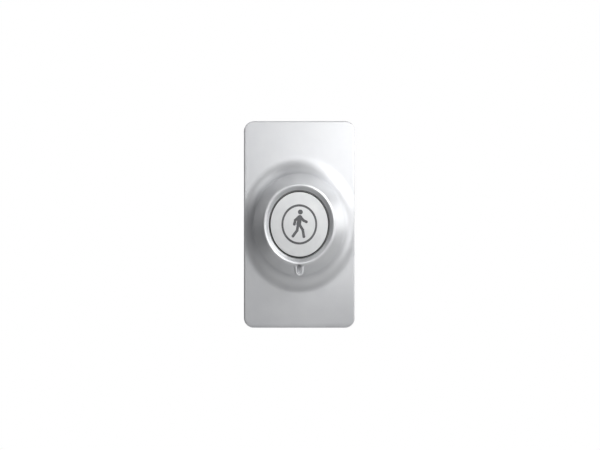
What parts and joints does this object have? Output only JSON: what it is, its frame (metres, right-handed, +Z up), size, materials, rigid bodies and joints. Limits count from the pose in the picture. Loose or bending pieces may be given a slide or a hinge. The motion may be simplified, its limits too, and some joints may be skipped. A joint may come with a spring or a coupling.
{
  "type": "pedestrian push button",
  "caption": "Flush plate with a flared oval boss, a sprung button, a drain spout and a sealed switch chamber behind.",
  "frame": {"origin": "centre of the face that lies on the wall", "axes": "+Z up the plate, +X to the right as the user faces the button, +Y into the wall"},
  "size_m": [0.0952, 0.0375, 0.1778],
  "materials": {
    "cast_aluminium": "die cast, bead blasted and clear finished",
    "button_steel": "satin stainless steel",
    "symbol_fill": "dark filled engraving",
    "black_rubber": "moulded black rubber",
    "steel_hardware": "plain stainless steel",
    "spring_steel": "drawn spring wire",
    "bearing_bronze": "turned bronze",
    "contact_brass": "tinned brass",
    "switch_plastic": "moulded black plastic",
    "plunger_plastic": "moulded red plastic",
    "block_plastic": "moulded natural nylon",
    "lead_red": "red cable insulation",
    "lead_black": "black cable insulation"
  },
  "bodies": {
    "base": {"housing": "cast_aluminium", "wall_gasket": "black_rubber", "mounting_inserts": "steel_hardware", "cap_seal": "black_rubber", "return_spring": "spring_steel", "guide_bush": "bearing_bronze", "stem_o_ring": "black_rubber", "guide_plate": "cast_aluminium", "guide_plate_gasket": "black_rubber", "guide_plate_screws": "steel_hardware", "switch_bracket": "steel_hardware", "bracket_screws": "steel_hardware", "switch_body": "switch_plastic", "switch_screws": "steel_hardware", "lever_pin": "steel_hardware", "switch_terminals": "contact_brass", "lead_receptacles": "contact_brass", "common_lead": "lead_red", "contact_lead": "lead_black", "terminal_block": "block_plastic", "terminal_clamps": "contact_brass", "terminal_screws": "steel_hardware", "block_screws": "steel_hardware", "earth_screw": "steel_hardware", "earth_washer": "contact_brass", "rear_cover": "cast_aluminium", "cover_gasket": "black_rubber", "cover_screws": "steel_hardware", "cable_grommet": "black_rubber"},
    "button": {"button_cap": "button_steel", "button_symbol": "symbol_fill", "plunger_stem": "steel_hardware", "stem_clip": "spring_steel"},
    "switch_plunger": {"switch_plunger": "plunger_plastic"},
    "switch_lever": {"switch_lever": "spring_steel"}
  },
  "joints": [
    {"name": "button_press", "type": "slide", "parent": "base", "child": "button", "axis": [0, 1, 0], "range_m": [0, 0.0025], "stiffness_N_per_m": 2000, "springref_m": -0.003, "deforming": ["return_spring"]},
    {"name": "lever_swing", "type": "hinge", "parent": "base", "child": "switch_lever", "pos_m": [-0.00889, -0.0148, 0], "axis": [0, 0, 1], "range_deg": [0, 16]},
    {"name": "switch_press", "type": "slide", "parent": "base", "child": "switch_plunger", "axis": [0, 1, 0], "range_m": [0, 0.0009]}
  ],
  "couplings": [
    {"joint": "lever_swing", "follows": "button_press", "rad_per_m": 111.7},
    {"joint": "switch_press", "follows": "button_press", "ratio": 0.36}
  ]
}
